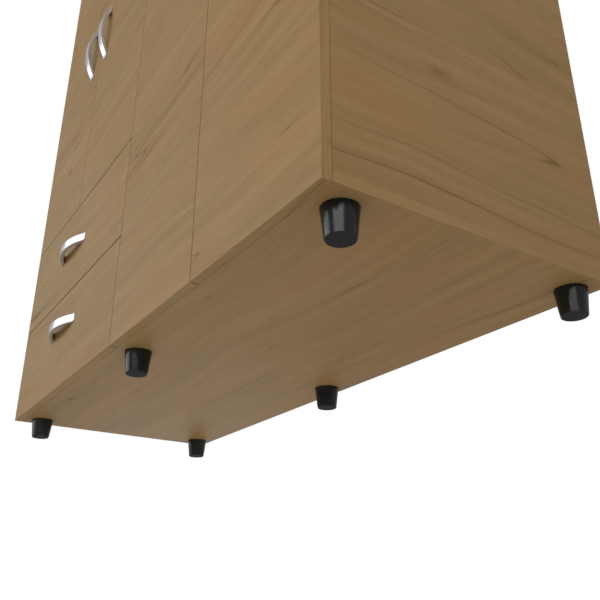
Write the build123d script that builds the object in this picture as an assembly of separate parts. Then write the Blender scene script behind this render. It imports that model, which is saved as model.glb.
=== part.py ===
from build123d import *
import os

# Four-door wardrobe with two stacked drawers, on six short tapered feet.
# +Z is up, the fronts face -Y, and the origin is on the floor at the middle of the whole footprint.
# All sizes are in millimetres.

# ---- whole wardrobe -------------------------------------------------------------------------
WIDTH = 1600.0
HEIGHT = 2000.0
DEPTH = 628.0  # visible face of the fronts to the rear face of the back boards
BOARD = 18.0
BACK_BOARD = 3.0
EDGE_RADIUS = 0.8
COLUMNS = 4
BUMPER_GAP = 0.5  # between closed fronts and the carcass
FRONT_GAP = 3.0
SIDE_REVEAL = 1.0
TOP_REVEAL = 2.0
BACK_REVEAL = 1.0

# ---- feet -----------------------------------------------------------------------------------
FOOT_HEIGHT = 52.0
FOOT_TOP_RADIUS = 30.0
FOOT_BOTTOM_RADIUS = 24.0
FOOT_EDGE_RADIUS = 3.0
FOOT_SIDE_INSET = 52.0
FOOT_FRONT_INSET = 50.0
FOOT_BACK_INSET = 46.0
STUD_RADIUS = 4.0
STUD_IN_FOOT = 18.0
STUD_IN_BOARD = 12.0
STUD_TIP_SPACE = 1.0

# ---- cam fittings and dowels ----------------------------------------------------------------
CAM_RADIUS = 7.5
CAM_THICKNESS = 12.0
CAM_SETBACK = 34.0
CAM_SUNK = 0.3
CAM_DRIVE_WIDTH = 1.6
CAM_DRIVE_LENGTH = 9.0
CAM_DRIVE_DEPTH = 2.5
CAM_END_INSET = 100.0
BOLT_RADIUS = 3.0
BOLT_IN_PANEL = 11.0
DOWEL_RADIUS = 4.0
DOWEL_IN_PANEL = 11.0
DOWEL_IN_BOARD = 19.0
DOWEL_FROM_CAM = 40.0
FIT_CLEARANCE = 0.1
BOLT_PASSAGE_CLEARANCE = 0.8

# ---- back boards ----------------------------------------------------------------------------
BACK_SCREW_RADIUS = 1.5
BACK_SCREW_HEAD_RADIUS = 3.0
BACK_SCREW_HEAD_DEPTH = 1.8
BACK_SCREW_LENGTH = 16.0
BACK_SCREW_EDGE = 9.0
BACK_SCREW_OFF_SEAM = 5.0
BACK_SCREW_ROWS = 9
BACK_SCREW_COLUMNS = 3

# ---- inside fittings ------------------------------------------------------------------------
HAT_SPACE = 340.0
SHELF_SETBACK = 20.0
SHELF_SIDE_GAP = 1.0
SHELF_PIN_RADIUS = 2.5
SHELF_PIN_LAND = 2.0  # board left between the pins of two shelves that face each other
SHELF_PIN_OUT = 9.0
SHELF_PIN_INSET = 70.0
RAIL_DROP = 60.0
RAIL_RADIUS = 12.5
RAIL_WALL = 1.5
SOCKET_RADIUS = 16.0
SOCKET_LENGTH = 14.0
SOCKET_FLANGE_RADIUS = 25.0
SOCKET_FLANGE = 2.5
RAIL_END_GAP = 1.0

# ---- handles --------------------------------------------------------------------------------
HANDLE_LENGTH = 206.0
HANDLE_PROJECTION = 29.0
HANDLE_WIDTH = 23.0
HANDLE_PAD_THICKNESS = 3.0
HANDLE_PAD_LENGTH = 8.0
HANDLE_HOLLOW_RISE = 18.0
HANDLE_HOLLOW_LENGTH = 154.0
HANDLE_SCREW_SPACING = 160.0
HANDLE_BLEND_RADIUS = 5.0
HANDLE_END_RADIUS = 1.2
HANDLE_EDGE_RADIUS = 1.2
HANDLE_SCREW_BITE = 4.0
DOOR_HANDLE_HEIGHT = 1203.0
DOOR_HANDLE_SETBACK = 58.5
UPPER_HANDLE_DROP = 137.0
LOWER_HANDLE_DROP = 101.0
SCREW_RADIUS = 2.0
SCREW_HOLE_RADIUS = 2.3
SCREW_HEAD_RADIUS = 4.0
SCREW_HEAD_HEIGHT = 2.4

# ---- drawers --------------------------------------------------------------------------------
DRAWER_FRONT_HEIGHT = 270.0
BOX_BOARD = 16.0
BOX_LENGTH = 500.0
BOX_RISE = 36.0  # bottom edge of the box above the bottom edge of its front
BOX_TOP_DROP = 54.0  # top edge of the box below the top edge of its front
BOX_BOTTOM = 5.0
BOX_GROOVE_RISE = 10.0
BOX_GROOVE_DEPTH = 8.0
BOX_GROOVE_PLAY = 0.2
FIXING_SCREW_LENGTH = 30.0
FIXING_SCREW_EDGE = 60.0
FIXING_SCREW_RISE = 30.0

# ---- ball-bearing runners -------------------------------------------------------------------
RUNNER_THICKNESS = 12.7
RUNNER_HEIGHT = 45.0
RUNNER_LENGTH = 500.0
RUNNER_METAL = 1.2
RUNNER_BALL_SPACE = 2.3
RUNNER_WEB_GAP = 1.2
RUNNER_LIP_GAP = 1.7
RUNNER_SETBACK = 2.0
RUNNER_RISE = 55.0  # runner centre line above the bottom edge of the box
DRAWER_TRAVEL = 450.0

# ---- concealed hinges -----------------------------------------------------------------------
CUP_RADIUS = 17.5
CUP_DEPTH = 12.5
CUP_WALL = 1.2
CUP_EDGE = 4.0  # door edge to the rim of the cup
CUP_FLANGE = 1.2
CUP_FLANGE_RIM = 1.4
CUP_FLANGE_REACH = 31.0
CUP_FLANGE_WIDTH = 20.0
CUP_FLANGE_OFFSET = 4.0
HINGE_END_INSET = 100.0
ARM_WIDTH = 13.0
ARM_LENGTH = 66.0
ARM_HEIGHT = 11.0
ARM_BEND = 20.0
ARM_NOSE_RADIUS = 3.0
ARM_FORK_WIDTH = 6.6
PLATE_THICKNESS = 2.5
PLATE_FRONT = 22.0
PLATE_BACK = 68.0
PLATE_WING = 26.0
PLATE_WING_WIDTH = 13.0
PLATE_LINE = 39.0  # screw line of the mounting plate behind the back face of the door
LINK_PIVOT = (32.5, -2.8)  # from the door's hinge edge and from its back face
LINK_LENGTH = 14.0
LINK_ANGLE = -164.0
LINK_HALF_WIDTH = 2.0
LINK_THICKNESS = 6.0
LINK_PIN_RADIUS = 1.2
LINK_PIN_CLEARANCE = 0.08

# ---- places worked out from the sizes above -------------------------------------------------
BACK_Y = (DEPTH + HANDLE_PROJECTION) / 2
FRONT_Y = BACK_Y - DEPTH
FRONT_REAR_Y = FRONT_Y + BOARD
CARCASS_FRONT_Y = FRONT_REAR_Y + BUMPER_GAP
CARCASS_BACK_Y = BACK_Y - BACK_BOARD
SIDE_X = WIDTH / 2
INNER_X = SIDE_X - BOARD
DIVIDER_X = BOARD / 2
BASE_Z = FOOT_HEIGHT
FLOOR_Z = BASE_Z + BOARD
CEILING_Z = HEIGHT - BOARD
FRONT_TOP_Z = HEIGHT - TOP_REVEAL
LOWER_FRONT_Z = BASE_Z
UPPER_FRONT_Z = LOWER_FRONT_Z + DRAWER_FRONT_HEIGHT + FRONT_GAP
SHORT_DOOR_Z = UPPER_FRONT_Z + DRAWER_FRONT_HEIGHT + FRONT_GAP
BAY_SHELF_Z = SHORT_DOOR_Z - FRONT_GAP / 2 - BOARD / 2
HAT_SHELF_Z = CEILING_Z - HAT_SPACE - BOARD
RAIL_Z = HAT_SHELF_Z - RAIL_DROP
RAIL_Y = (CARCASS_FRONT_Y + CARCASS_BACK_Y) / 2
CUP_CENTRE = CUP_EDGE + CUP_RADIUS
SHELF_PIN_IN_BOARD = (BOARD - SHELF_PIN_LAND) / 2
BOX_HEIGHT = DRAWER_FRONT_HEIGHT - BOX_RISE - BOX_TOP_DROP

# Each bay is the clear space between two upright boards.
BAYS = {"left": (-INNER_X, -DIVIDER_X), "right": (DIVIDER_X, INNER_X)}

# Each door: its column from the left, its hinge side (+1 when it hangs by its left edge),
# and its lowest edge.
DOORS = {
    "left_outer": (0, 1, SHORT_DOOR_Z),
    "left_inner": (1, -1, SHORT_DOOR_Z),
    "right_inner": (2, 1, BASE_Z),
    "right_outer": (3, -1, BASE_Z),
}
HINGE_COUNT = {SHORT_DOOR_Z: 3, BASE_Z: 4}
DRAWERS = {
    "lower": (LOWER_FRONT_Z, LOWER_HANDLE_DROP),
    "upper": (UPPER_FRONT_Z, UPPER_HANDLE_DROP),
}

TURN = {"x": Rot(0, 90, 0), "y": Rot(-90, 0, 0), "z": Rot(0, 0, 0)}
FROM_START = (Align.CENTER, Align.CENTER, Align.MIN)
TO_END = (Align.CENTER, Align.CENTER, Align.MAX)


# ---- plain shapes ---------------------------------------------------------------------------
def block(low, high):
    """A square-edged block from its low corner to its high corner."""
    size = [b - a for a, b in zip(low, high)]
    middle = [(a + b) / 2 for a, b in zip(low, high)]
    return Pos(*middle) * Box(*size)


def rod(axis, start, length, radius):
    """A round rod that runs from its start point along +axis, or back along it."""
    place = list(start)
    if length < 0:
        place["xyz".index(axis)] += length
    return Pos(*place) * TURN[axis] * Cylinder(radius, abs(length), align=FROM_START)


def taper(axis, start, length, start_radius, end_radius):
    """A cone frustum from its start point along +axis."""
    cone = Cone(start_radius, end_radius, length, align=FROM_START)
    return Pos(*start) * TURN[axis] * cone


def spread(low, high, count):
    """Evenly spaced places, with one at each end."""
    return [low + (high - low) * i / (count - 1) for i in range(count)]


def cut(solid, tools):
    """The solid with every tool taken out of it."""
    for tool in tools:
        solid = solid - tool
    return solid


# ---- cam fittings, written once for upright and level boards --------------------------------
def along(point, direction, distance):
    """The point moved a distance along a signed axis such as +z or -x."""
    moved = list(point)
    moved["xyz".index(direction[1])] += distance if direction[0] == "+" else -distance
    return tuple(moved)


def bar(point, direction, start, end, radius):
    """A rod along a signed axis, between two distances from the point."""
    length = end - start if direction[0] == "+" else start - end
    return rod(direction[1], along(point, direction, start), length, radius)


class CamJoint:
    """One cam, its bolt and a dowel, where the end of a board meets the face of a panel."""

    def __init__(self, point, into, face, dowel_side):
        self.point = point
        self.into = into
        self.face = face
        self.dowel = along(point, dowel_side, DOWEL_FROM_CAM)
        cam_axis = along(point, into, CAM_SETBACK)
        self.cam_face = along(cam_axis, face, BOARD / 2)

    def board_cuts(self):
        """Bores in the board: the cam's pocket, the bolt's passage and the dowel's hole."""
        pocket_depth = CAM_SUNK + CAM_THICKNESS + FIT_CLEARANCE
        passage = BOLT_RADIUS + BOLT_PASSAGE_CLEARANCE
        yield bar(self.cam_face, self.face, -pocket_depth, 0, CAM_RADIUS + FIT_CLEARANCE)
        yield bar(self.point, self.into, 0, CAM_SETBACK, passage)
        yield bar(self.dowel, self.into, 0, DOWEL_IN_BOARD + FIT_CLEARANCE, DOWEL_RADIUS + FIT_CLEARANCE)

    def panel_cuts(self):
        """Bores in the panel: for the bolt's thread and for the dowel."""
        for place, depth, radius in (
            (self.point, BOLT_IN_PANEL, BOLT_RADIUS),
            (self.dowel, DOWEL_IN_PANEL, DOWEL_RADIUS),
        ):
            yield bar(place, self.into, -depth - FIT_CLEARANCE, 0, radius + FIT_CLEARANCE)

    def cam(self):
        """The cam disc, with its drive slot and the channel that takes the bolt's head."""
        disc = bar(self.cam_face, self.face, -CAM_SUNK - CAM_THICKNESS, -CAM_SUNK, CAM_RADIUS)
        channel = bar(self.point, self.into, 0, CAM_SETBACK, BOLT_RADIUS + BOLT_PASSAGE_CLEARANCE)
        slot_centre = along(self.cam_face, self.face, -CAM_SUNK)
        sides = {"x": CAM_DRIVE_WIDTH, "y": CAM_DRIVE_LENGTH, "z": CAM_DRIVE_LENGTH}
        sides[self.into[1]] = CAM_DRIVE_WIDTH
        sides[self.face[1]] = 2 * CAM_DRIVE_DEPTH
        slot = Pos(*slot_centre) * Box(sides["x"], sides["y"], sides["z"])
        return disc - channel - slot

    def bolt(self):
        return bar(self.point, self.into, -BOLT_IN_PANEL, CAM_SETBACK - FIT_CLEARANCE, BOLT_RADIUS)

    def dowel_pin(self):
        return bar(self.dowel, self.into, -DOWEL_IN_PANEL, DOWEL_IN_BOARD, DOWEL_RADIUS)


def cam_rows():
    """Front and rear places of a board's two cams, with the side on which each dowel lies."""
    return (
        (CARCASS_FRONT_Y + CAM_END_INSET, "+y"),
        (CARCASS_BACK_Y - CAM_END_INSET, "-y"),
    )


UPRIGHTS = {
    "side_panel_left": (-SIDE_X + BOARD / 2, "+x"),
    "side_panel_right": (SIDE_X - BOARD / 2, "-x"),
    "centre_divider": (0.0, "+x"),
}
FLOOR_JOINTS = {
    name: [CamJoint((x, y, FLOOR_Z), "+z", face, side) for y, side in cam_rows()]
    for name, (x, face) in UPRIGHTS.items()
}
CEILING_JOINTS = {
    name: [CamJoint((x, y, CEILING_Z), "-z", face, side) for y, side in cam_rows()]
    for name, (x, face) in UPRIGHTS.items()
}
BAY_SHELF_MIDDLE_Z = BAY_SHELF_Z + BOARD / 2
BAY_SHELF_JOINTS = {
    "side_panel_left": [
        CamJoint((-INNER_X, y, BAY_SHELF_MIDDLE_Z), "+x", "-z", side) for y, side in cam_rows()
    ],
    "centre_divider": [
        CamJoint((-DIVIDER_X, y, BAY_SHELF_MIDDLE_Z), "-x", "-z", side) for y, side in cam_rows()
    ],
}


def every_joint():
    for group in (FLOOR_JOINTS, CEILING_JOINTS, BAY_SHELF_JOINTS):
        for joints in group.values():
            yield from joints


# ---- feet -----------------------------------------------------------------------------------
FOOT_X = {"left": -SIDE_X + FOOT_SIDE_INSET, "middle": 0.0, "right": SIDE_X - FOOT_SIDE_INSET}
FOOT_Y = {"front": CARCASS_FRONT_Y + FOOT_FRONT_INSET, "rear": BACK_Y - FOOT_BACK_INSET}


def foot(x, y):
    """A tapered moulded foot with a rounded lower rim and a bore for its stud."""
    body = taper("z", (x, y, 0), FOOT_HEIGHT, FOOT_BOTTOM_RADIUS, FOOT_TOP_RADIUS)
    rim = body.edges().group_by(Axis.Z)[0]
    body = fillet(rim, FOOT_EDGE_RADIUS)
    depth = STUD_IN_FOOT + STUD_TIP_SPACE
    return body - rod("z", (x, y, FOOT_HEIGHT), -depth, STUD_RADIUS + FIT_CLEARANCE)


def foot_places():
    for row, y in FOOT_Y.items():
        for column, x in FOOT_X.items():
            yield f"foot_{row}_{column}", x, y


# ---- carcass --------------------------------------------------------------------------------
def rounded_face(board, axis, end):
    """The board with the edges of one of its faces eased."""
    return fillet(board.faces().sort_by(axis)[end].edges(), EDGE_RADIUS)


def bottom_panel():
    panel = block((-SIDE_X, CARCASS_FRONT_Y, BASE_Z), (SIDE_X, CARCASS_BACK_Y, FLOOR_Z))
    panel = rounded_face(panel, Axis.Z, 0)
    tools = [tool for joints in FLOOR_JOINTS.values() for joint in joints for tool in joint.panel_cuts()]
    depth = STUD_IN_BOARD + STUD_TIP_SPACE
    for _, x, y in foot_places():
        tools.append(rod("z", (x, y, BASE_Z), depth, STUD_RADIUS + FIT_CLEARANCE))
    tools += back_screw_holes(BASE_Z, FLOOR_Z)
    return cut(panel, tools)


def top_panel():
    panel = block((-SIDE_X, CARCASS_FRONT_Y, CEILING_Z), (SIDE_X, CARCASS_BACK_Y, HEIGHT))
    panel = rounded_face(panel, Axis.Z, -1)
    tools = [tool for joints in CEILING_JOINTS.values() for joint in joints for tool in joint.panel_cuts()]
    tools += back_screw_holes(CEILING_Z, HEIGHT)
    return cut(panel, tools)


def upright(name):
    """A side panel or the divider, bored for its cams, shelf fittings, pins and back screws."""
    x, _ = UPRIGHTS[name]
    low = (x - BOARD / 2, CARCASS_FRONT_Y, FLOOR_Z)
    high = (x + BOARD / 2, CARCASS_BACK_Y, CEILING_Z)
    tools = []
    for joint in FLOOR_JOINTS[name] + CEILING_JOINTS[name]:
        tools += joint.board_cuts()
    for joint in BAY_SHELF_JOINTS.get(name, []):
        tools += joint.panel_cuts()
    for bay_name, (left, right) in BAYS.items():
        for wall_x, outward in ((left, "-x"), (right, "+x")):
            if low[0] <= wall_x <= high[0]:
                for place in shelf_pin_places(wall_x):
                    depth = SHELF_PIN_IN_BOARD + FIT_CLEARANCE
                    tools.append(bar(place, outward, 0, depth, SHELF_PIN_RADIUS + FIT_CLEARANCE))
    tools += [back_screw(px, pz, FIT_CLEARANCE) for px, pz in back_screw_places()
              if low[0] < px < high[0] and low[2] < pz < high[2]]
    return cut(block(low, high), tools)


def drawer_bay_shelf():
    left, right = BAYS["left"]
    shelf = block((left, CARCASS_FRONT_Y, BAY_SHELF_Z), (right, CARCASS_BACK_Y, BAY_SHELF_Z + BOARD))
    tools = [tool for joints in BAY_SHELF_JOINTS.values() for joint in joints for tool in joint.board_cuts()]
    return cut(shelf, tools)


# ---- back boards and their screws -----------------------------------------------------------
def back_span(side):
    """Low and high X of one back board: the two boards meet on the divider."""
    outer = SIDE_X - BACK_REVEAL
    seam = BACK_REVEAL / 2
    return (-outer, -seam) if side == "left" else (seam, outer)


def back_screw_places():
    """Screws down the outer side and the divider, and along the bottom and top panels."""
    low_z = BASE_Z + BOARD / 2
    high_z = HEIGHT - BOARD / 2
    for sign in (-1, 1):
        edge = sign * (SIDE_X - BACK_SCREW_EDGE)
        seam = sign * BACK_SCREW_OFF_SEAM
        for z in spread(low_z, high_z, BACK_SCREW_ROWS):
            yield edge, z
            yield seam, z
        for x in spread(edge, seam, BACK_SCREW_COLUMNS + 2)[1:-1]:
            yield x, low_z
            yield x, high_z


def back_screw(x, z, grow=0.0):
    """A flush countersunk screw through the back board, or its hole when grown."""
    shank = rod("y", (x, BACK_Y, z), -BACK_SCREW_LENGTH - grow, BACK_SCREW_RADIUS + grow)
    head_start = (x, BACK_Y - BACK_SCREW_HEAD_DEPTH, z)
    small, large = BACK_SCREW_RADIUS + grow, BACK_SCREW_HEAD_RADIUS + grow
    return shank + taper("y", head_start, BACK_SCREW_HEAD_DEPTH, small, large)


def back_screw_holes(low_z, high_z):
    return [back_screw(x, z, FIT_CLEARANCE) for x, z in back_screw_places() if low_z < z < high_z]


def back_panel(side):
    low_x, high_x = back_span(side)
    panel = block((low_x, CARCASS_BACK_Y, BASE_Z + BACK_REVEAL), (high_x, BACK_Y, HEIGHT - BACK_REVEAL))
    holes = [back_screw(x, z, FIT_CLEARANCE) for x, z in back_screw_places() if low_x < x < high_x]
    return cut(panel, holes)


# ---- hat shelves, their pins and the hanging rails ------------------------------------------
def shelf_depth():
    return CARCASS_FRONT_Y + SHELF_SETBACK, CARCASS_BACK_Y


def shelf_pin_places(wall_x):
    """The two pins in one wall, just under the hat shelf."""
    front, rear = shelf_depth()
    z = HAT_SHELF_Z - SHELF_PIN_RADIUS
    return [(wall_x, front + SHELF_PIN_INSET, z), (wall_x, rear - SHELF_PIN_INSET, z)]


def hat_shelf(bay):
    left, right = BAYS[bay]
    front, rear = shelf_depth()
    low = (left + SHELF_SIDE_GAP, front, HAT_SHELF_Z)
    high = (right - SHELF_SIDE_GAP, rear, HAT_SHELF_Z + BOARD)
    return rounded_face(block(low, high), Axis.Y, 0)


def shelf_pins():
    pins = []
    for left, right in BAYS.values():
        for wall_x, inward in ((left, "+x"), (right, "-x")):
            for place in shelf_pin_places(wall_x):
                pins.append(bar(place, inward, -SHELF_PIN_IN_BOARD, SHELF_PIN_OUT, SHELF_PIN_RADIUS))
    return pins


def rail_sockets():
    """A flanged socket on each wall, bored for the end of a rail."""
    sockets = []
    for left, right in BAYS.values():
        for wall_x, inward in ((left, "+x"), (right, "-x")):
            wall = (wall_x, RAIL_Y, RAIL_Z)
            flange = bar(wall, inward, 0, SOCKET_FLANGE, SOCKET_FLANGE_RADIUS)
            collar = bar(wall, inward, 0, SOCKET_LENGTH, SOCKET_RADIUS)
            bore = bar(wall, inward, SOCKET_FLANGE, SOCKET_LENGTH, RAIL_RADIUS + FIT_CLEARANCE)
            sockets.append(flange + collar - bore)
    return sockets


def hanging_rails():
    rails = []
    for left, right in BAYS.values():
        start = left + SOCKET_FLANGE + RAIL_END_GAP
        length = right - SOCKET_FLANGE - RAIL_END_GAP - start
        tube = rod("x", (start, RAIL_Y, RAIL_Z), length, RAIL_RADIUS)
        rails.append(tube - rod("x", (start, RAIL_Y, RAIL_Z), length, RAIL_RADIUS - RAIL_WALL))
    return rails


# ---- bow handles ----------------------------------------------------------------------------
def handle_outline():
    """Side view of the bow: length along X, height off the front along Y."""
    half = HANDLE_LENGTH / 2
    bow = half - HANDLE_PAD_LENGTH
    hollow = HANDLE_HOLLOW_LENGTH / 2
    pad = HANDLE_PAD_THICKNESS
    lines = [
        Line((-half, 0), (-half, pad)),
        Line((-half, pad), (-bow, pad)),
        ThreePointArc((-bow, pad), (0, HANDLE_PROJECTION), (bow, pad)),
        Line((bow, pad), (half, pad)),
        Line((half, pad), (half, 0)),
        Line((half, 0), (hollow, 0)),
        ThreePointArc((hollow, 0), (0, HANDLE_HOLLOW_RISE), (-hollow, 0)),
        Line((-hollow, 0), (-half, 0)),
    ]
    outline = make_face(Curve() + lines)
    corners = outline.vertices()
    ends = [v for v in corners if abs(abs(v.X) - half) < 1e-6 and v.Y > pad / 2]
    outline = fillet(ends, HANDLE_END_RADIUS)
    bends = [v for v in outline.vertices() if abs(abs(v.X) - bow) < 1e-6]
    return fillet(bends, HANDLE_BLEND_RADIUS)


def bow_handle():
    """The handle lying along X, standing off along +Z, with a bore for each screw."""
    half_width = HANDLE_WIDTH / 2
    body = extrude(Plane.XZ * handle_outline(), half_width, both=True)
    sides = [e for e in body.edges() if abs(abs(e.center().Y) - half_width) < 1e-6 and e.center().Z > 0.5]
    body = fillet(sides, HANDLE_EDGE_RADIUS)
    depth = HANDLE_SCREW_BITE + FIT_CLEARANCE
    for x in handle_screw_offsets():
        body -= rod("z", (x, 0, 0), depth, SCREW_RADIUS + FIT_CLEARANCE)
    return body


def handle_screw_offsets():
    return (-HANDLE_SCREW_SPACING / 2, HANDLE_SCREW_SPACING / 2)


def handle_screw_places(x, z, upright_handle):
    """The two screw axes of a handle centred at x, z."""
    for offset in handle_screw_offsets():
        yield (x, z + offset) if upright_handle else (x + offset, z)


BOW_HANDLE = bow_handle()


def placed_handle(x, z, upright_handle):
    """The bow handle turned to stand off the front face, lying level or upright."""
    turned = Rot(90, 0, 0) * BOW_HANDLE
    if upright_handle:
        turned = Rot(0, 90, 0) * turned
    return Pos(x, FRONT_Y, z) * turned


def machine_screw(x, z, head_y):
    """A handle screw whose head seats at head_y and whose tip is in the handle."""
    tip_y = FRONT_Y - HANDLE_SCREW_BITE
    shank = rod("y", (x, tip_y, z), head_y - tip_y, SCREW_RADIUS)
    return shank + rod("y", (x, head_y, z), SCREW_HEAD_HEIGHT, SCREW_HEAD_RADIUS)


# ---- doors and concealed hinges -------------------------------------------------------------
def column_span(column):
    """Low and high X of the door over one column."""
    pitch = WIDTH / COLUMNS
    low_gap = SIDE_REVEAL if column == 0 else FRONT_GAP / 2
    high_gap = SIDE_REVEAL if column == COLUMNS - 1 else FRONT_GAP / 2
    low = -SIDE_X + column * pitch
    return low + low_gap, low + pitch - high_gap


def hinge_edge(name):
    column, sign, _ = DOORS[name]
    low, high = column_span(column)
    return low if sign > 0 else high


def hinge_heights(name):
    low_z = DOORS[name][2]
    return spread(low_z + HINGE_END_INSET, FRONT_TOP_Z - HINGE_END_INSET, HINGE_COUNT[low_z])


def hinge_plane(name, z):
    """Local X runs from the hinge edge across the door, local Y from its back face inwards."""
    sign = DOORS[name][1]
    return Plane(origin=(hinge_edge(name), FRONT_REAR_Y, z), x_dir=(sign, 0, 0), z_dir=(0, 0, sign))


def handle_place(name):
    """Handle centre of a door, near its free edge."""
    column, sign, _ = DOORS[name]
    low, high = column_span(column)
    x = high - DOOR_HANDLE_SETBACK if sign > 0 else low + DOOR_HANDLE_SETBACK
    return x, DOOR_HANDLE_HEIGHT


def door(name):
    column, sign, low_z = DOORS[name]
    low_x, high_x = column_span(column)
    board = block((low_x, FRONT_Y, low_z), (high_x, FRONT_REAR_Y, FRONT_TOP_Z))
    board = rounded_face(board, Axis.Y, 0)
    cup_x = hinge_edge(name) + sign * CUP_CENTRE
    depth, radius = CUP_DEPTH + FIT_CLEARANCE, CUP_RADIUS + FIT_CLEARANCE
    tools = [rod("y", (cup_x, FRONT_REAR_Y, z), -depth, radius) for z in hinge_heights(name)]
    tools += at_hinges(name, cup_flange(FIT_CLEARANCE))
    for x, z in handle_screw_places(*handle_place(name), True):
        tools.append(rod("y", (x, FRONT_Y, z), BOARD, SCREW_HOLE_RADIUS))
    return cut(board, tools)


def cup_flange(grow=0.0):
    """The cup's rim and screw wings, let in flush with the door's back face, or their recess when grown."""
    rim = Pos(CUP_CENTRE, 0, 0) * TURN["y"] * Cylinder(
        CUP_RADIUS + CUP_FLANGE_RIM + grow, CUP_FLANGE, align=TO_END)
    wing = Pos(CUP_CENTRE + CUP_FLANGE_OFFSET, -CUP_FLANGE / 2, 0) * Box(
        CUP_FLANGE_WIDTH + 2 * grow, CUP_FLANGE, 2 * (CUP_FLANGE_REACH + grow))
    return rim + fillet(wing.edges().filter_by(Axis.Y), CUP_FLANGE_WIDTH / 4)


def hinge_cup():
    """The cup and its flange, about the local hinge plane, open for the arm's nose."""
    cup = Pos(CUP_CENTRE, 0, 0) * TURN["y"] * Cylinder(CUP_RADIUS, CUP_DEPTH, align=TO_END)
    inside = Pos(CUP_CENTRE, CUP_WALL - CUP_DEPTH, 0) * TURN["y"] * Cylinder(
        CUP_RADIUS - CUP_WALL, CUP_DEPTH, align=FROM_START)
    return cup + cup_flange() - inside


def hinge_arm(face):
    """The cranked arm, on a board face that lies this far from the door's hinge edge."""
    pivot_x, pivot_y = LINK_PIVOT
    base = face + PLATE_THICKNESS
    crest = face + ARM_HEIGHT
    nose = ARM_NOSE_RADIUS
    neck = pivot_y + 2.5 * nose
    outline = Polyline(
        (pivot_x + nose, pivot_y),
        (pivot_x + nose, neck + nose),
        (crest, ARM_BEND + nose),
        (crest, ARM_LENGTH),
        (base, ARM_LENGTH),
        (base, ARM_BEND),
        (pivot_x - nose, neck),
        (pivot_x - nose, pivot_y),
        close=True,
    )
    profile = make_face(outline) + Pos(pivot_x, pivot_y) * Circle(nose)
    body = extrude(profile, ARM_WIDTH / 2, both=True)
    fork = Pos(pivot_x, pivot_y, 0) * Box(4 * nose, 3.2 * nose, ARM_FORK_WIDTH)
    pin = Pos(pivot_x, pivot_y, 0) * Cylinder(LINK_PIN_RADIUS, ARM_WIDTH)
    return body - fork + pin


def hinge_plate(face):
    """The cross-shaped mounting plate under the arm."""
    spine = block((face, PLATE_FRONT, -ARM_WIDTH / 2), (face + PLATE_THICKNESS, PLATE_BACK, ARM_WIDTH / 2))
    half_wing = PLATE_WING_WIDTH / 2
    wings = block((face, PLATE_LINE - half_wing, -PLATE_WING),
                  (face + PLATE_THICKNESS, PLATE_LINE + half_wing, PLATE_WING))
    return spine + fillet(wings.edges().filter_by(Axis.X), half_wing * 0.9)


def hinge_link():
    """The short link on the arm's pin, lying in the cup while the door is closed."""
    bar_body = SlotCenterToCenter(LINK_LENGTH, 2 * LINK_HALF_WIDTH)
    place = Pos(*LINK_PIVOT) * Rot(0, 0, LINK_ANGLE) * Pos(LINK_LENGTH / 2, 0)
    body = extrude(place * bar_body, LINK_THICKNESS / 2, both=True)
    bore = LINK_PIN_RADIUS + LINK_PIN_CLEARANCE
    return body - Pos(*LINK_PIVOT, 0) * Cylinder(bore, LINK_THICKNESS)


def board_face_distance(name):
    """How far behind the door's hinge edge the board face that carries its hinges lies."""
    column = DOORS[name][0]
    if column in (0, COLUMNS - 1):
        return BOARD - SIDE_REVEAL
    return DIVIDER_X - FRONT_GAP / 2


def at_hinges(name, piece):
    """A copy of the piece at each of one door's hinges."""
    return [hinge_plane(name, z).location * piece for z in hinge_heights(name)]


def hinge_arms():
    arms = []
    for name in DOORS:
        face = board_face_distance(name)
        arms += at_hinges(name, hinge_arm(face))
        arms += at_hinges(name, hinge_plate(face))
    return arms


# ---- drawers and runners --------------------------------------------------------------------
DRAWER_LEFT, DRAWER_RIGHT = BAYS["left"]
BOX_LEFT = DRAWER_LEFT + RUNNER_THICKNESS
BOX_RIGHT = DRAWER_RIGHT - RUNNER_THICKNESS
BOX_FRONT_Y = FRONT_REAR_Y
BOX_BACK_Y = BOX_FRONT_Y + BOX_LENGTH
DRAWER_X = (DRAWER_LEFT + DRAWER_RIGHT) / 2


def drawer_front_span():
    return column_span(0)[0], column_span(1)[1]


def box_z(name):
    low_z = DRAWERS[name][0] + BOX_RISE
    return low_z, low_z + BOX_HEIGHT


def drawer_handle_place(name):
    low_z, drop = DRAWERS[name]
    low_x, high_x = drawer_front_span()
    return (low_x + high_x) / 2, low_z + DRAWER_FRONT_HEIGHT - drop


def fixing_screw_places(name):
    low_z, high_z = box_z(name)
    for x in (BOX_LEFT + FIXING_SCREW_EDGE, BOX_RIGHT - FIXING_SCREW_EDGE):
        for z in (low_z + BOX_GROOVE_RISE + FIXING_SCREW_RISE, high_z - FIXING_SCREW_RISE):
            yield x, z


def drawer_front(name):
    low_z = DRAWERS[name][0]
    low_x, high_x = drawer_front_span()
    board = block((low_x, FRONT_Y, low_z), (high_x, FRONT_REAR_Y, low_z + DRAWER_FRONT_HEIGHT))
    board = rounded_face(board, Axis.Y, 0)
    tools = [rod("y", (x, FRONT_Y, z), BOARD, SCREW_HOLE_RADIUS)
             for x, z in handle_screw_places(*drawer_handle_place(name), False)]
    bite = FIXING_SCREW_LENGTH - BOX_BOARD
    tools += [rod("y", (x, FRONT_REAR_Y, z), -bite - FIT_CLEARANCE, SCREW_RADIUS + FIT_CLEARANCE)
              for x, z in fixing_screw_places(name)]
    return cut(board, tools)


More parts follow.
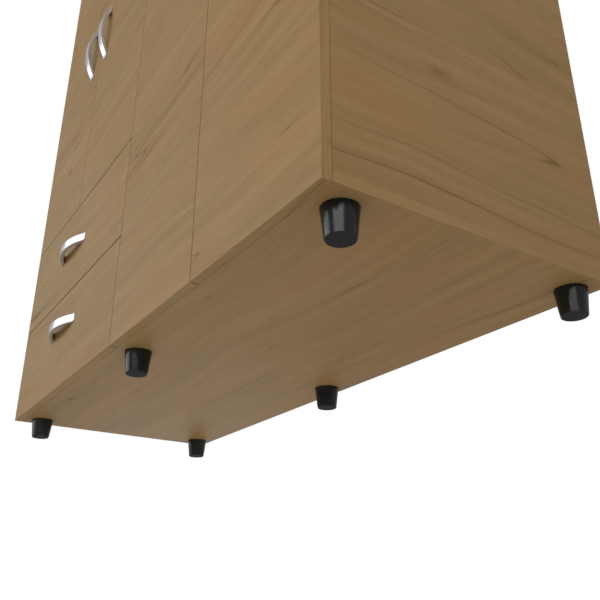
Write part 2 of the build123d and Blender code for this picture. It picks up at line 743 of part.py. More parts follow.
def drawer_box(name):
    """Two sides with a front and a rear cross board between them, all grooved for the bottom."""
    low_z, high_z = box_z(name)
    inner_left = BOX_LEFT + BOX_BOARD
    inner_right = BOX_RIGHT - BOX_BOARD
    boards = [
        block((BOX_LEFT, BOX_FRONT_Y, low_z), (inner_left, BOX_BACK_Y, high_z)),
        block((inner_right, BOX_FRONT_Y, low_z), (BOX_RIGHT, BOX_BACK_Y, high_z)),
        block((inner_left, BOX_FRONT_Y, low_z), (inner_right, BOX_FRONT_Y + BOX_BOARD, high_z)),
        block((inner_left, BOX_BACK_Y - BOX_BOARD, low_z), (inner_right, BOX_BACK_Y, high_z)),
    ]
    groove = box_bottom(name, BOX_GROOVE_PLAY)
    tools = [rod("y", (x, BOX_FRONT_Y, z), BOX_BOARD, SCREW_HOLE_RADIUS)
             for x, z in handle_screw_places(*drawer_handle_place(name), False)]
    tools += [rod("y", (x, BOX_FRONT_Y, z), BOX_BOARD, SCREW_RADIUS + FIT_CLEARANCE)
              for x, z in fixing_screw_places(name)]
    boards = [board - groove for board in boards]
    boards[2] = cut(boards[2], tools)
    return boards


def box_bottom(name, grow=0.0):
    """The drawer's bottom board, or its groove when grown."""
    low_z = box_z(name)[0] + BOX_GROOVE_RISE
    reach = BOX_BOARD - BOX_GROOVE_DEPTH - grow
    low = (BOX_LEFT + reach, BOX_FRONT_Y + reach, low_z - grow)
    high = (BOX_RIGHT - reach, BOX_BACK_Y - reach, low_z + BOX_BOTTOM + grow)
    return block(low, high)


def drawer_screws(name):
    """Handle screws through the box and the front, and the screws that hold the front on."""
    inside_y = BOX_FRONT_Y + BOX_BOARD
    screws = [machine_screw(x, z, inside_y)
              for x, z in handle_screw_places(*drawer_handle_place(name), False)]
    for x, z in fixing_screw_places(name):
        shank = rod("y", (x, inside_y, z), -FIXING_SCREW_LENGTH, SCREW_RADIUS)
        screws.append(shank + rod("y", (x, inside_y, z), SCREW_HEAD_HEIGHT, SCREW_HEAD_RADIUS))
    return screws


def channel(name, web, tip, half_height):
    """A pair of folded steel channels, one each side, from web to tip off the bay's wall."""
    z = box_z(name)[0] + RUNNER_RISE
    front = CARCASS_FRONT_Y + RUNNER_SETBACK
    rear = front + RUNNER_LENGTH
    step = RUNNER_METAL if tip > web else -RUNNER_METAL
    pair = []
    for wall, inward in ((DRAWER_LEFT, 1), (DRAWER_RIGHT, -1)):
        xs = sorted((wall + inward * web, wall + inward * tip))
        body = block((xs[0], front, z - half_height), (xs[1], rear, z + half_height))
        hollow = sorted((wall + inward * (web + step), wall + inward * (tip + step)))
        inside = half_height - RUNNER_METAL
        pair.append(body - block((hollow[0], front, z - inside), (hollow[1], rear, z + inside)))
    return pair


MIDDLE_WEB = RUNNER_METAL + RUNNER_WEB_GAP
MIDDLE_HALF_HEIGHT = RUNNER_HEIGHT / 2 - RUNNER_METAL - RUNNER_BALL_SPACE
INNER_HALF_HEIGHT = MIDDLE_HALF_HEIGHT - RUNNER_METAL - RUNNER_BALL_SPACE
INNER_TIP = MIDDLE_WEB + RUNNER_METAL + RUNNER_WEB_GAP


def runner_rails():
    """The cabinet members, fixed to the bay's walls."""
    rails = []
    for name in DRAWERS:
        rails += channel(name, 0.0, RUNNER_THICKNESS - RUNNER_LIP_GAP, RUNNER_HEIGHT / 2)
    return rails


def runner_middles(name):
    """The floating middle members."""
    return channel(name, MIDDLE_WEB, RUNNER_THICKNESS - RUNNER_METAL - RUNNER_WEB_GAP, MIDDLE_HALF_HEIGHT)


def runner_slides(name):
    """The drawer members, fixed to the sides of the box."""
    return channel(name, RUNNER_THICKNESS, INNER_TIP, INNER_HALF_HEIGHT)


# ---- every node -----------------------------------------------------------------------------
def carcass_nodes():
    yield "bottom_panel", [bottom_panel()]
    yield "top_panel", [top_panel()]
    for name in UPRIGHTS:
        yield name, [upright(name)]
    yield "drawer_bay_shelf", [drawer_bay_shelf()]
    for side in BAYS:
        yield f"back_panel_{side}", [back_panel(side)]
        yield f"hat_shelf_{side}", [hat_shelf(side)]
    yield "back_screws", [back_screw(x, z) for x, z in back_screw_places()]
    yield "shelf_pins", shelf_pins()
    yield "rail_sockets", rail_sockets()
    yield "hanging_rails", hanging_rails()
    yield "cam_locks", [joint.cam() for joint in every_joint()]
    yield "cam_bolts", [joint.bolt() for joint in every_joint()]
    yield "dowels", [joint.dowel_pin() for joint in every_joint()]
    for name, x, y in foot_places():
        yield name, [foot(x, y)]
    stud_length = STUD_IN_FOOT + STUD_IN_BOARD
    stud_z = FOOT_HEIGHT - STUD_IN_FOOT
    yield "foot_studs", [rod("z", (x, y, stud_z), stud_length, STUD_RADIUS) for _, x, y in foot_places()]
    yield "hinge_arms", hinge_arms()
    yield "runner_rails", runner_rails()


def door_nodes():
    for name in DOORS:
        x, z = handle_place(name)
        yield f"door_{name}", [door(name)]
        yield f"door_{name}_handle", [placed_handle(x, z, True)]
        yield f"door_{name}_screws", [machine_screw(px, pz, FRONT_REAR_Y)
                                      for px, pz in handle_screw_places(x, z, True)]
        yield f"door_{name}_hinge_cups", at_hinges(name, hinge_cup())
        yield f"door_{name}_hinge_links", at_hinges(name, hinge_link())


def drawer_nodes():
    for name in DRAWERS:
        x, z = drawer_handle_place(name)
        yield f"drawer_{name}_front", [drawer_front(name)]
        yield f"drawer_{name}_box", drawer_box(name)
        yield f"drawer_{name}_bottom", [box_bottom(name)]
        yield f"drawer_{name}_handle", [placed_handle(x, z, False)]
        yield f"drawer_{name}_screws", drawer_screws(name)
        yield f"drawer_{name}_runner_middles", runner_middles(name)
        yield f"drawer_{name}_runner_slides", runner_slides(name)


def every_node():
    yield from carcass_nodes()
    yield from door_nodes()
    yield from drawer_nodes()


os.makedirs("parts", exist_ok=True)
for node_name, pieces in every_node():
    solids = [solid for piece in pieces for solid in piece.solids()]
    node = solids[0] if len(solids) == 1 else Compound(children=solids)
    node.label = node_name
    export_step(node, f"parts/{node_name}.step")
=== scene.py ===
import math

import bpy
from mathutils import Matrix, Vector

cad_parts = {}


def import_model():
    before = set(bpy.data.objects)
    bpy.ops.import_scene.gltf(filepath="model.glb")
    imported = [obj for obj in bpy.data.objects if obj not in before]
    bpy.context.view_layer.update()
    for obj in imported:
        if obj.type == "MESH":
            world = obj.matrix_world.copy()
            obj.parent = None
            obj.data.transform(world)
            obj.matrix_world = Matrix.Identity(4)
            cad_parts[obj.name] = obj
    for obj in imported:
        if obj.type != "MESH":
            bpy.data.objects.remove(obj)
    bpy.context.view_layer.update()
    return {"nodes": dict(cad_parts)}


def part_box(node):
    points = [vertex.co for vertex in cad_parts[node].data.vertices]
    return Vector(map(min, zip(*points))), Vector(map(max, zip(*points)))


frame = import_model()
NODES = frame["nodes"]


# ---- shader building -------------------------------------------------------------------------
class Graph:
    """A node tree with one short call for each kind of node."""

    MIX_SOCKETS = {"FLOAT": (2, 3, 0), "VECTOR": (4, 5, 1), "RGBA": (6, 7, 2)}

    def __init__(self, tree):
        self.tree = tree
        tree.nodes.clear()

    def node(self, kind, **settings):
        made = self.tree.nodes.new(kind)
        for key, value in settings.items():
            setattr(made, key, value)
        return made

    def feed(self, socket, value):
        """Links an output into the socket, or sets a plain value on it."""
        if isinstance(value, bpy.types.NodeSocket):
            self.tree.links.new(value, socket)
        else:
            socket.default_value = value

    def math(self, operation, a, b=0.0, clamp=False):
        made = self.node("ShaderNodeMath", operation=operation, use_clamp=clamp)
        self.feed(made.inputs[0], a)
        self.feed(made.inputs[1], b)
        return made.outputs[0]

    def mix(self, kind, factor, a, b):
        made = self.node("ShaderNodeMix", data_type=kind)
        first, second, out = self.MIX_SOCKETS[kind]
        self.feed(made.inputs[0], factor)
        self.feed(made.inputs[first], a)
        self.feed(made.inputs[second], b)
        return made.outputs[out]

    def combine(self, x, y, z):
        made = self.node("ShaderNodeCombineXYZ")
        for socket, value in zip(made.inputs, (x, y, z)):
            self.feed(socket, value)
        return made.outputs[0]

    def separate(self, vector):
        made = self.node("ShaderNodeSeparateXYZ")
        self.feed(made.inputs[0], vector)
        return made.outputs

    def scaled(self, vector, x, y, z):
        made = self.node("ShaderNodeVectorMath", operation="MULTIPLY")
        self.feed(made.inputs[0], vector)
        made.inputs[1].default_value = (x, y, z)
        return made.outputs[0]

    def shifted(self, vector, x, y, z):
        made = self.node("ShaderNodeVectorMath", operation="ADD")
        self.feed(made.inputs[0], vector)
        made.inputs[1].default_value = (x, y, z)
        return made.outputs[0]

    def noise(self, vector, detail, roughness=0.5, distortion=0.0):
        made = self.node("ShaderNodeTexNoise", noise_dimensions="3D")
        self.feed(made.inputs["Vector"], vector)
        made.inputs["Scale"].default_value = 1.0
        made.inputs["Detail"].default_value = detail
        made.inputs["Roughness"].default_value = roughness
        made.inputs["Distortion"].default_value = distortion
        return made.outputs[0]

    def remap(self, value, low, high, to_low=0.0, to_high=1.0, smooth=True):
        made = self.node("ShaderNodeMapRange")
        made.interpolation_type = "SMOOTHSTEP" if smooth else "LINEAR"
        self.feed(made.inputs["Value"], value)
        limits = {"From Min": low, "From Max": high, "To Min": to_low, "To Max": to_high}
        for key, number in limits.items():
            self.feed(made.inputs[key], number)
        return made.outputs[0]

    def bump(self, height, distance, strength, normal=None):
        made = self.node("ShaderNodeBump")
        made.inputs["Distance"].default_value = distance
        made.inputs["Strength"].default_value = strength
        self.feed(made.inputs["Height"], height)
        if normal is not None:
            self.feed(made.inputs["Normal"], normal)
        return made.outputs[0]


def material(name):
    """A new material: its graph, its shader and the object-space coordinates."""
    made = bpy.data.materials.new(name)
    made.use_nodes = True
    graph = Graph(made.node_tree)
    shader = graph.node("ShaderNodeBsdfPrincipled")
    output = graph.node("ShaderNodeOutputMaterial")
    graph.feed(output.inputs["Surface"], shader.outputs[0])
    coordinates = graph.node("ShaderNodeTexCoord")
    return made, graph, shader, coordinates


# ---- oak laminate ----------------------------------------------------------------------------
# Along and across the grain for each face normal. Boards are named by the plane that they lie in.
GRAIN = {
    "front": {"x": "zyx", "y": "xzy", "z": "xyz"},
    "side": {"x": "yzx", "y": "zxy", "z": "yxz"},
    "level": {"x": "yzx", "y": "xzy", "z": "xyz"},
}
OAK_TAN = (0.290, 0.166, 0.066, 1)
OAK_OLIVE = (0.262, 0.165, 0.064, 1)
OAK_PALE = (0.325, 0.204, 0.088, 1)
OAK_DARK = (0.112, 0.052, 0.008, 1)

# Noise scales are repeats per metre: along the grain, across it, and through the print.
DRIFT_SCALE = (1.9, 3.0, 1.0)
DRIFT_REACH = 0.075
KNOT_SCALE = (1.9, 4.6, 2.0)
KNOT_TIGHTNESS = 10.0
KNOT_RARITY = 0.62
KNOT_SWELL = 0.012
PATCH_SCALE = (1.9, 11.0, 1.0)
BAND_SCALE = (2.0, 38.0, 1.0)
STREAK_SCALE = (4.5, 230.0, 1.0)
FIBRE_SCALE = (26.0, 900.0, 1.0)
PORE_SCALE = (70.0, 2100.0, 1.0)
OAK_GLOSS = (0.50, 0.62)
OAK_RELIEF = 0.00012
OAK_SPECULAR = 0.17

# Thin lines: where the noise that draws them starts, its scale, and the same for what shows them.
DARK_LINE = {"offset": (3.1, 0.7, 5.0), "scale": (0.50, 13.0, 1.0), "detail": 1.2, "roughness": 0.42}
DARK_LINE_SHOWN = {"offset": (9.0, 2.0, 1.0), "scale": (1.3, 7.5, 1.0), "detail": 1.0}
VEIN = {"offset": (1.7, 4.2, 2.0), "scale": (1.1, 30.0, 1.0), "detail": 2.0}
VEIN_SHOWN = {"offset": (4.0, 8.0, 3.0), "scale": (2.0, 13.0, 1.0), "detail": 1.0}
DARK_LINE_WIDTH = 0.0065
HALO_WIDTH = 0.075
VEIN_WIDTH = 0.011


def stretched(graph, line, offset, scale, detail, roughness=0.5):
    """Noise drawn out along the grain, from its own starting place."""
    place = graph.scaled(graph.shifted(line, *offset), *scale)
    return graph.noise(place, detail=detail, roughness=roughness)


def off_middle(graph, field):
    """How far a noise is from its middle value, which it crosses along thin wandering lines."""
    return graph.math("ABSOLUTE", graph.math("SUBTRACT", field, 0.5))


def knots(graph, grain):
    """Small round marks in a few of the cells that the board is divided into."""
    cell = graph.node("ShaderNodeTexVoronoi", voronoi_dimensions="3D", feature="F1")
    cell.inputs["Scale"].default_value = 1.0
    cell.inputs["Randomness"].default_value = 1.0
    graph.feed(cell.inputs["Vector"], graph.scaled(grain, *KNOT_SCALE))
    spread = graph.math("MULTIPLY", cell.outputs["Distance"], KNOT_TIGHTNESS)
    reach = graph.math("SUBTRACT", 1.0, spread, clamp=True)
    seed = graph.separate(cell.outputs["Color"])[0]
    chosen = graph.math("GREATER_THAN", seed, KNOT_RARITY)
    return graph.math("MULTIPLY", graph.math("POWER", reach, 2.0), chosen)


def wandering(graph, grain, knot):
    """The grain's own coordinates: it drifts along its length, and swells round the knots."""
    drift = graph.noise(graph.scaled(grain, *DRIFT_SCALE), detail=1.5)
    along, across, depth = graph.separate(grain)
    across = graph.math("ADD", across, graph.math("MULTIPLY", drift, DRIFT_REACH))
    across = graph.math("ADD", across, graph.math("MULTIPLY", knot, KNOT_SWELL))
    return graph.combine(along, across, depth)


def oak_group():
    """The laminate's print: colour, gloss and relief from a vector along and across the grain."""
    tree = bpy.data.node_groups.new("oak_print", "ShaderNodeTree")
    graph = Graph(tree)
    tree.interface.new_socket("Grain", in_out="INPUT", socket_type="NodeSocketVector")
    for name, kind in (("Colour", "Color"), ("Gloss", "Float"), ("Relief", "Float")):
        tree.interface.new_socket(name, in_out="OUTPUT", socket_type=f"NodeSocket{kind}")
    grain = graph.node("NodeGroupInput").outputs[0]
    output = graph.node("NodeGroupOutput")
    knot = knots(graph, grain)
    line = wandering(graph, grain, knot)

    patches = graph.noise(graph.scaled(line, *PATCH_SCALE), detail=3.0, roughness=0.55)
    bands = graph.noise(graph.scaled(line, *BAND_SCALE), detail=2.5, roughness=0.55)
    streaks = graph.noise(graph.scaled(line, *STREAK_SCALE), detail=2.5, roughness=0.65)
    fibres = graph.noise(graph.scaled(line, *FIBRE_SCALE), detail=2.0, roughness=0.6)
    pores = graph.noise(graph.scaled(line, *PORE_SCALE), detail=1.0)
    pore_marks = graph.remap(pores, 0.36, 0.24, 0.0, 0.35)

    crest = off_middle(graph, stretched(graph, line, **DARK_LINE))
    shown = stretched(graph, line, **DARK_LINE_SHOWN)
    dark_line = graph.remap(crest, 0.0, DARK_LINE_WIDTH, 1.0, 0.0)
    dark_line = graph.math("MULTIPLY", dark_line, graph.remap(shown, 0.50, 0.60))
    halo = graph.remap(crest, 0.0, HALO_WIDTH, 1.0, 0.0)
    halo = graph.math("MULTIPLY", halo, graph.remap(shown, 0.44, 0.70))
    vein = graph.remap(off_middle(graph, stretched(graph, line, **VEIN)), 0.0, VEIN_WIDTH, 1.0, 0.0)
    vein = graph.math("MULTIPLY", vein, graph.remap(stretched(graph, line, **VEIN_SHOWN), 0.50, 0.64))

    colour = graph.mix("RGBA", graph.remap(patches, 0.40, 0.60), OAK_OLIVE, OAK_TAN)
    for strength, tone in (
        (graph.remap(bands, 0.42, 0.74, 0.0, 0.62), OAK_PALE),
        (graph.remap(bands, 0.45, 0.24, 0.0, 0.14), OAK_DARK),
        (graph.remap(streaks, 0.46, 0.24, 0.0, 0.15), OAK_DARK),
        (graph.remap(fibres, 0.5, 0.25, 0.0, 0.18), OAK_DARK),
        (graph.remap(fibres, 0.5, 0.75, 0.0, 0.18), OAK_PALE),
        (graph.math("MULTIPLY", halo, 0.10), OAK_DARK),
        (graph.math("MULTIPLY", dark_line, 0.62), OAK_DARK),
        (graph.math("MULTIPLY", vein, 0.38), OAK_DARK),
        (graph.math("MULTIPLY", knot, 0.85), OAK_DARK),
        (pore_marks, OAK_DARK),
    ):
        colour = graph.mix("RGBA", strength, colour, tone)

    gloss = graph.remap(fibres, 0.25, 0.75, *OAK_GLOSS, smooth=False)
    relief = graph.math("SUBTRACT", graph.math("MULTIPLY", fibres, 0.6), pore_marks)
    for name, value in (("Colour", colour), ("Gloss", gloss), ("Relief", relief)):
        graph.feed(output.inputs[name], value)
    return tree


OAK = oak_group()


# A face counts as facing along an axis when its normal has more than this of it.
FACING = 0.7
# How far the print moves on from one seed to the next, in metres.
SEED_STEP = (1.37, 0.61, 2.3)


def grain_vector(graph, coordinates, lie, seed):
    """Object coordinates turned so that X runs along the grain of whichever face is shaded."""
    place = dict(zip("xyz", graph.separate(coordinates.outputs["Object"])))
    normal = dict(zip("xyz", graph.separate(coordinates.outputs["Normal"])))
    turned = {}
    for face, order in GRAIN[lie].items():
        turned[face] = graph.combine(*(place[axis] for axis in order))
    vector = turned["y"]
    for face in "zx":
        facing = graph.math("GREATER_THAN", graph.math("ABSOLUTE", normal[face]), FACING)
        vector = graph.mix("VECTOR", facing, vector, turned[face])
    return graph.shifted(vector, *(step * seed for step in SEED_STEP))


def oak(name, lie, seed):
    """One board's piece of the print, with the grain turned the way that the board lies."""
    made, graph, shader, coordinates = material(name)
    print_node = graph.node("ShaderNodeGroup", node_tree=OAK)
    graph.feed(print_node.inputs["Grain"], grain_vector(graph, coordinates, lie, seed))
    graph.feed(shader.inputs["Base Color"], print_node.outputs["Colour"])
    graph.feed(shader.inputs["Roughness"], print_node.outputs["Gloss"])
    graph.feed(shader.inputs["Normal"], graph.bump(print_node.outputs["Relief"], OAK_RELIEF, 0.6))
    shader.inputs["Specular IOR Level"].default_value = OAK_SPECULAR
    return made


# ---- the other materials ---------------------------------------------------------------------
# Noise scales are repeats per metre, and heights are metres.
FINE, COARSE = 900.0, 40.0
BRUSHED_UPRIGHT = (FINE, FINE, COARSE)
BRUSHED_LEVEL = (COARSE, FINE, FINE)
ROLLED = (FINE, 30.0, FINE)
PLATE_CLOUDS = 22.0
PLATE_DULLING = 0.86
SKIN_SCALE = 1500.0
RUBBED_SCALE = 38.0
WEAR_LIGHTENING = 1.9
WEAR_HAZE = 0.006
BOARD_CLOUDS = 9.0
BOARD_FLECKS = 420.0
BRUSH_HEIGHT = 0.00004
SKIN_HEIGHT = 0.00003
FLECK_HEIGHT = 0.00006
SOLE_ROUGHNESS = 0.85
SOLE_FACING = -0.9


def even_noise(graph, place, scale, **settings):
    """Noise with the same scale every way."""
    return graph.noise(graph.scaled(place, scale, scale, scale), **settings)


def metal(name, colour, roughness, brush, spread=0.08, grain=BRUSHED_UPRIGHT, metallic=1.0, soften=0.0):
    """Plated or brushed metal: fine lines along one axis, with cloudy changes of gloss."""
    made, graph, shader, coordinates = material(name)
    place = coordinates.outputs["Object"]
    lines = graph.noise(graph.scaled(place, *grain), detail=2.0, roughness=0.6)
    clouds = even_noise(graph, place, PLATE_CLOUDS, detail=3.0, roughness=0.6)
    dull = tuple(c * PLATE_DULLING for c in colour) + (1,)
    plate = graph.mix("RGBA", graph.remap(clouds, 0.3, 0.7), dull, colour + (1,))
    graph.feed(shader.inputs["Base Color"], plate)
    varied = graph.math("MULTIPLY", lines, spread)
    varied = graph.math("ADD", varied, graph.math("MULTIPLY", clouds, spread))
    graph.feed(shader.inputs["Roughness"], graph.math("ADD", varied, roughness - spread))
    edge = None
    if soften:
        rounded = graph.node("ShaderNodeBevel", samples=8)
        rounded.inputs["Radius"].default_value = soften
        edge = rounded.outputs[0]
    graph.feed(shader.inputs["Normal"], graph.bump(lines, BRUSH_HEIGHT, brush, edge))
    shader.inputs["Metallic"].default_value = metallic
    return made


def moulded(name, colour, roughness, shine):
    """Moulded plastic: a fine spark-eroded skin, a few rubbed patches, and a matt face underneath."""
    made, graph, shader, coordinates = material(name)
    place = coordinates.outputs["Object"]
    skin = even_noise(graph, place, SKIN_SCALE, detail=2.0)
    rubbed = even_noise(graph, place, RUBBED_SCALE, detail=4.0, roughness=0.65)
    worn = tuple(c * WEAR_LIGHTENING + WEAR_HAZE for c in colour) + (1,)
    shade = graph.mix("RGBA", graph.remap(rubbed, 0.48, 0.74), colour + (1,), worn)
    graph.feed(shader.inputs["Base Color"], shade)
    polished = graph.remap(rubbed, 0.3, 0.7, roughness - 0.05, roughness + 0.09)
    up = graph.separate(coordinates.outputs["Normal"])[2]
    underneath = graph.math("LESS_THAN", up, SOLE_FACING)
    graph.feed(shader.inputs["Roughness"], graph.mix("FLOAT", underneath, polished, SOLE_ROUGHNESS))
    graph.feed(shader.inputs["Normal"], graph.bump(skin, SKIN_HEIGHT, 0.35))
    shader.inputs["Specular IOR Level"].default_value = shine
    return made


def pressed_board(name, light, dark, roughness, fleck, cloud):
    """Hardboard, melamine or plain wood: soft clouds with short fibres lying every way."""
    made, graph, shader, coordinates = material(name)
    place = coordinates.outputs["Object"]
    light += (1,)
    dark += (1,)
    clouds = even_noise(graph, place, BOARD_CLOUDS, detail=3.0)
    flecks = even_noise(graph, place, BOARD_FLECKS, detail=3.0, roughness=0.7, distortion=1.2)
    colour = graph.mix("RGBA", graph.remap(clouds, 0.3, 0.7, 0.0, cloud), light, dark)
    colour = graph.mix("RGBA", graph.remap(flecks, 0.55, 0.8, 0.0, fleck), colour, dark)
    graph.feed(shader.inputs["Base Color"], colour)
    gloss = graph.remap(flecks, 0.3, 0.7, roughness - 0.05, roughness + 0.07)
    graph.feed(shader.inputs["Roughness"], gloss)
    graph.feed(shader.inputs["Normal"], graph.bump(flecks, FLECK_HEIGHT, 0.5))
    return made


# ---- which node gets which material ----------------------------------------------------------
def paint(node, made):
    """Every material slot of a CAD node takes this material."""
    mesh = NODES[node].data
    if not mesh.materials:
        mesh.materials.append(made)
    for index in range(len(mesh.materials)):
        mesh.materials[index] = made


DOOR_NAMES = ("left_outer", "left_inner", "right_inner", "right_outer")
DRAWER_NAMES = ("lower", "upper")
FRONTS = [f"door_{name}" for name in DOOR_NAMES] + [f"drawer_{name}_front" for name in DRAWER_NAMES]
UPRIGHTS = ["side_panel_left", "side_panel_right", "centre_divider"]
LEVELS = ["bottom_panel", "top_panel", "drawer_bay_shelf", "hat_shelf_left", "hat_shelf_right"]

for lie, boards, first_seed in (("front", FRONTS, 36), ("side", UPRIGHTS, 29), ("level", LEVELS, 36)):
    for seed, board in enumerate(boards, start=first_seed):
        paint(board, oak(f"oak_{board}", lie, seed))

SATIN_CHROME = (0.64, 0.64, 0.67)
SATIN = {"roughness": 0.20, "brush": 0.5, "metallic": 0.7, "soften": 0.0028}
BRIGHT_ZINC = (0.66, 0.67, 0.69)
NICKEL = (0.70, 0.68, 0.64)
CHROME = (0.82, 0.83, 0.85)
BLACK = (0.0075, 0.0075, 0.008)
HARDBOARD_TONES = (0.30, 0.20, 0.11), (0.19, 0.115, 0.055)
MELAMINE_TONES = (0.50, 0.44, 0.34), (0.40, 0.34, 0.25)
BEECH_TONES = (0.62, 0.42, 0.24), (0.5, 0.31, 0.16)

level_handle = metal("satin_chrome_level", SATIN_CHROME, grain=BRUSHED_LEVEL, **SATIN)
upright_handle = metal("satin_chrome_upright", SATIN_CHROME, **SATIN)
zinc = metal("bright_zinc", BRIGHT_ZINC, roughness=0.36, brush=0.6)
runner_zinc = metal("runner_zinc", BRIGHT_ZINC, roughness=0.34, brush=0.6, grain=ROLLED)
nickel = metal("nickel_plate", NICKEL, roughness=0.26, brush=0.4)
chrome = metal("polished_chrome", CHROME, roughness=0.10, brush=0.1, spread=0.04)
black_plastic = moulded("black_plastic", BLACK, roughness=0.20, shine=0.34)
hardboard = pressed_board("brown_hardboard", *HARDBOARD_TONES, roughness=0.55, fleck=0.5, cloud=0.2)
pale_board = pressed_board("pale_melamine", *MELAMINE_TONES, roughness=0.42, fleck=0.4, cloud=0.3)
beech = pressed_board("beech_dowel", *BEECH_TONES, roughness=0.6, fleck=0.4, cloud=0.6)

for name in DOOR_NAMES:
    paint(f"door_{name}_handle", upright_handle)
    paint(f"door_{name}_screws", zinc)
    paint(f"door_{name}_hinge_cups", nickel)
    paint(f"door_{name}_hinge_links", nickel)
for name in DRAWER_NAMES:
    paint(f"drawer_{name}_handle", level_handle)
    paint(f"drawer_{name}_screws", zinc)
    paint(f"drawer_{name}_box", pale_board)
    paint(f"drawer_{name}_bottom", pale_board)
    paint(f"drawer_{name}_runner_middles", runner_zinc)
    paint(f"drawer_{name}_runner_slides", runner_zinc)
for side in ("left", "right"):
    paint(f"back_panel_{side}", hardboard)
for row in ("front", "rear"):
    for column in ("left", "middle", "right"):
        paint(f"foot_{row}_{column}", black_plastic)
for node, made in (
    ("runner_rails", runner_zinc),
    ("hinge_arms", nickel),
    ("hanging_rails", chrome),
    ("rail_sockets", chrome),
    ("shelf_pins", nickel),
    ("cam_locks", zinc),
    ("cam_bolts", zinc),
    ("back_screws", zinc),
    ("foot_studs", zinc),
    ("dowels", beech),
):
    paint(node, made)


# ---- floor, light and camera -----------------------------------------------------------------
FLOOR_HALF = 9.0
FLOOR_TONES = (0.23, 0.23, 0.23, 1), (0.26, 0.26, 0.26, 1)
FLOOR_GLOW = 0.70
FLOOR_MOTTLE = 3.0
AMBIENT = (0.45, 0.45, 0.45)
WHITE = (1, 1, 1)
COOL_WHITE = (0.92, 0.99, 1.0)
WARM_WHITE = (1.0, 0.97, 0.81)
BODY_MIDDLE = Vector((0.0, 0.0, 0.9))
# The camera is low down, outside the near bottom corner, and looks up past it.
FIELD_OF_VIEW = math.radians(45.0)
VIEW_TURN = math.radians(56.27)
VIEW_RISE = math.radians(23.3)
CAMERA_FROM_CORNER = Vector((0.6633, -0.4778, -0.5291))
SENSOR_WIDTH = 36.0


def floor_material():
    """Pale and faintly mottled from above, clear from below."""
    pale, graph, shader, coordinates = material("pale_floor")
    mottle = even_noise(graph, coordinates.outputs["Object"], FLOOR_MOTTLE, detail=4.0)
    graph.feed(shader.inputs["Base Color"], graph.mix("RGBA", mottle, *FLOOR_TONES))
    shader.inputs["Roughness"].default_value = 0.7
    shader.inputs["Emission Color"].default_value = WHITE + (1,)
    shader.inputs["Emission Strength"].default_value = FLOOR_GLOW
    clear = graph.node("ShaderNodeBsdfTransparent")
    choice = graph.node("ShaderNodeMixShader")
    graph.feed(choice.inputs[0], graph.node("ShaderNodeNewGeometry").outputs["Backfacing"])
    graph.feed(choice.inputs[1], shader.outputs[0])
    graph.feed(choice.inputs[2], clear.outputs[0])
    graph.feed(graph.tree.get_output_node("ALL").inputs["Surface"], choice.outputs[0])
    return pale


def floor():
    """A wide level sheet. A camera below it still sees the underside of the wardrobe."""
    h = FLOOR_HALF
    mesh = bpy.data.meshes.new("floor")
    mesh.from_pydata([(-h, -h, 0), (h, -h, 0), (h, h, 0), (-h, h, 0)], [], [(0, 1, 2, 3)])
    mesh.materials.append(floor_material())
    made = bpy.data.objects.new("floor", mesh)
    bpy.context.scene.collection.objects.link(made)
    made.visible_diffuse = False
    made.visible_glossy = False
    made.visible_shadow = False


def softbox(name, azimuth, elevation, size, radiance, distance=5.0, colour=WHITE):
    """A wide area light facing the wardrobe. Azimuth is counted from +X, both angles in degrees."""
    turn, lift = math.radians(azimuth), math.radians(elevation)
    level = math.cos(lift)
    direction = Vector((math.cos(turn) * level, math.sin(turn) * level, math.sin(lift)))
    width, height = size
    data = bpy.data.lights.new(name, "AREA")
    data.shape = "RECTANGLE"
    data.size = width
    data.size_y = height
    data.energy = radiance * math.pi * width * height
    data.color = colour
    made = bpy.data.objects.new(name, data)
    made.location = BODY_MIDDLE + direction * distance
    made.rotation_euler = direction.to_track_quat("Z", "Y").to_euler()
    bpy.context.scene.collection.objects.link(made)


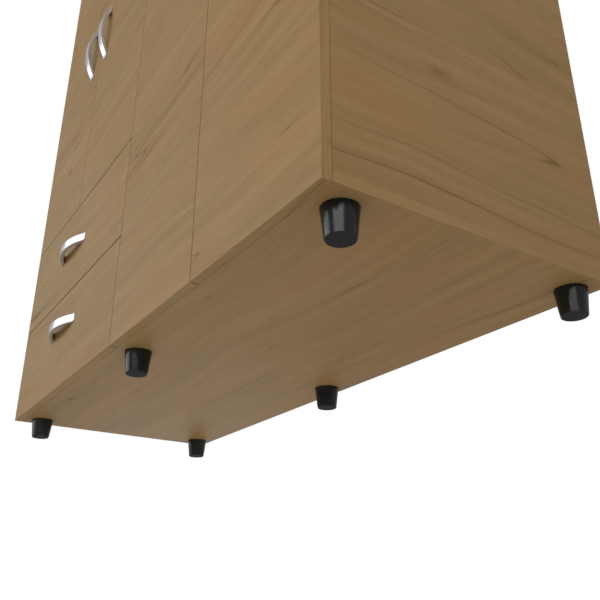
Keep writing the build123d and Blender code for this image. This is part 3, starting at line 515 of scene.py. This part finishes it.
def world():
    """White to the eye; a plain grey ambient light to the surfaces."""
    made = bpy.data.worlds.new("studio")
    bpy.context.scene.world = made
    made.use_nodes = True
    graph = Graph(made.node_tree)
    seen = graph.node("ShaderNodeBackground")
    seen.inputs[0].default_value = WHITE + (1,)
    lit = graph.node("ShaderNodeBackground")
    lit.inputs[0].default_value = AMBIENT + (1,)
    choice = graph.node("ShaderNodeMixShader")
    graph.feed(choice.inputs[0], graph.node("ShaderNodeLightPath").outputs["Is Camera Ray"])
    graph.feed(choice.inputs[1], lit.outputs[0])
    graph.feed(choice.inputs[2], seen.outputs[0])
    graph.feed(graph.node("ShaderNodeOutputWorld").inputs[0], choice.outputs[0])


def near_corner():
    """The corner of the wardrobe's body nearest to the camera."""
    bottom_low, bottom_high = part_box("bottom_panel")
    return Vector((bottom_high.x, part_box("door_right_outer")[0].y, bottom_low.z))


def camera():
    """A low three-quarter view up at the fronts, the right side and the underside."""
    data = bpy.data.cameras.new("camera")
    data.sensor_width = SENSOR_WIDTH
    data.lens = SENSOR_WIDTH / 2 / math.tan(FIELD_OF_VIEW / 2)
    made = bpy.data.objects.new("camera", data)
    right = Vector((math.cos(VIEW_TURN), math.sin(VIEW_TURN), 0.0))
    ahead = Vector((-math.sin(VIEW_TURN), math.cos(VIEW_TURN), 0.0))
    forward = ahead * math.cos(VIEW_RISE) + Vector((0.0, 0.0, math.sin(VIEW_RISE)))
    turn = Matrix((right, right.cross(forward), -forward)).transposed().to_4x4()
    made.matrix_world = Matrix.Translation(near_corner() + CAMERA_FROM_CORNER) @ turn
    bpy.context.scene.collection.objects.link(made)
    bpy.context.scene.camera = made


floor()
world()
softbox("front_left", azimuth=-126.0, elevation=9.0, size=(4.6, 2.6), radiance=2.25, colour=COOL_WHITE)
softbox("front_right", azimuth=-44.0, elevation=15.0, size=(5.0, 3.0), radiance=3.1)
softbox("low_left", azimuth=156.0, elevation=-13.0, size=(2.0, 2.0), radiance=1.6)
softbox(
    "below", azimuth=0.0, elevation=-89.9, size=(5.0, 5.0), radiance=0.48, distance=4.0, colour=WARM_WHITE
)
camera()
bpy.context.scene.view_settings.view_transform = "Standard"
